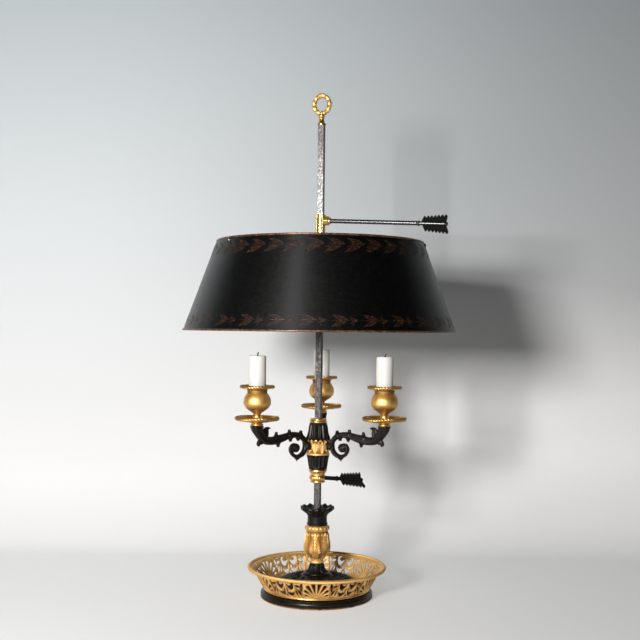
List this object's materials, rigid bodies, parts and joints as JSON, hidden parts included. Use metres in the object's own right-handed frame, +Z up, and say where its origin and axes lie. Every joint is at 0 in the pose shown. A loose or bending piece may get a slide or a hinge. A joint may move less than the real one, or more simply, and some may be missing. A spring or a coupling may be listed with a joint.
{
  "type": "bouillotte lamp",
  "caption": "Candle table lamp: pierced tray base, square rod, scroll candle arms with drip pans, and a conical tin shade; arms and shade slide and clamp by arrow-shaped keys.",
  "frame": {"origin": "centre of the plinth's underside, on the table and on the rod's axis", "axes": "+Z up along the rod; -Y is the lamp's front; the front candle arms lie at 214 and 334 degrees and the third at 87.6"},
  "size_m": [0.3617, 0.3618, 0.6678],
  "materials": {
    "black_bronze": "black patinated bronze, satin, rubbed to brown on its edges",
    "gilt_bronze": "mercury gilding, matt on the relief and burnished on rims",
    "brushed_gilt": "gilding brushed in fine upright lines",
    "polished_brass": "polished brass",
    "iron": "mottled grey-brown wrought iron",
    "black_iron": "blackened iron, satin",
    "painted_tole": "black japanned tin plate with painted leaf borders",
    "bronzed_edge": "bronze-brown rolled edge",
    "wax": "white candle wax, stands in for wax",
    "wick": "charred cotton"
  },
  "bodies": {
    "base": {"plinth": "black_bronze", "gallery": "gilt_bronze", "gallery_rope_rim": "gilt_bronze", "base_dome": "black_bronze", "foot_neck": "black_bronze", "baluster": "gilt_bronze", "crown": "black_bronze", "rod": "iron", "base_washer": "iron", "base_nut": "iron", "finial_socket": "gilt_bronze", "finial_wreath": "gilt_bronze"},
    "shade": {"shade_slider": "polished_brass", "shade_spider": "black_iron", "shade_rivets": "black_iron", "shade_shell": "painted_tole", "shade_top_bead": "bronzed_edge", "shade_bottom_bead": "bronzed_edge"},
    "upper_key": {"upper_key_shaft": "black_iron", "upper_key_arrow": "black_iron"},
    "branches": {"hub_sleeve": "polished_brass", "hub_bottom_collar": "gilt_bronze", "hub_lower_bell": "black_bronze", "hub_band": "gilt_bronze", "hub_upper_bell": "black_bronze", "hub_top_collar": "gilt_bronze", "arm_left": "black_bronze", "arm_right": "black_bronze", "arm_back": "black_bronze", "pan_collar_left": "gilt_bronze", "pan_collar_right": "gilt_bronze", "pan_collar_back": "gilt_bronze", "drip_pan_left": "gilt_bronze", "drip_pan_right": "gilt_bronze", "drip_pan_back": "gilt_bronze", "nozzle_left": "brushed_gilt", "nozzle_right": "brushed_gilt", "nozzle_back": "brushed_gilt"},
    "lower_key": {"lower_key_shaft": "black_iron", "lower_key_arrow": "black_iron"},
    "bobeche_left": {"bobeche_left": "gilt_bronze"},
    "bobeche_right": {"bobeche_right": "gilt_bronze"},
    "bobeche_back": {"bobeche_back": "gilt_bronze"},
    "candle_left": {"candle_left": "wax", "wick_left": "wick"},
    "candle_right": {"candle_right": "wax", "wick_right": "wick"},
    "candle_back": {"candle_back": "wax", "wick_back": "wick"}
  },
  "joints": [
    {"name": "shade_slide", "type": "slide", "parent": "base", "child": "shade", "axis": [0, 0, 1], "range_m": [-0.035, 0.1]},
    {"name": "upper_key_turn", "type": "hinge", "parent": "shade", "child": "upper_key", "pos_m": [0, 0, 0.4978], "axis": [0.9554, -0.2921, -0.0436], "range_deg": [0, 360]},
    {"name": "branch_slide", "type": "slide", "parent": "base", "child": "branches", "axis": [0, 0, 1], "range_m": [-0.022, 0.035]},
    {"name": "lower_key_turn", "type": "hinge", "parent": "branches", "child": "lower_key", "pos_m": [0, 0, 0.157], "axis": [0.9563, -0.2924, 0], "range_deg": [0, 360]},
    {"name": "bobeche_left_lift", "type": "slide", "parent": "branches", "child": "bobeche_left", "axis": [0, 0, 1], "range_m": [0, 0.015]},
    {"name": "bobeche_right_lift", "type": "slide", "parent": "branches", "child": "bobeche_right", "axis": [0, 0, 1], "range_m": [0, 0.015]},
    {"name": "bobeche_back_lift", "type": "slide", "parent": "branches", "child": "bobeche_back", "axis": [0, 0, 1], "range_m": [0, 0.015]},
    {"name": "candle_left_lift", "type": "slide", "parent": "bobeche_left", "child": "candle_left", "axis": [0, 0, 1], "range_m": [0, 0.03]},
    {"name": "candle_right_lift", "type": "slide", "parent": "bobeche_right", "child": "candle_right", "axis": [0, 0, 1], "range_m": [0, 0.03]},
    {"name": "candle_back_lift", "type": "slide", "parent": "bobeche_back", "child": "candle_back", "axis": [0, 0, 1], "range_m": [0, 0.03]}
  ]
}
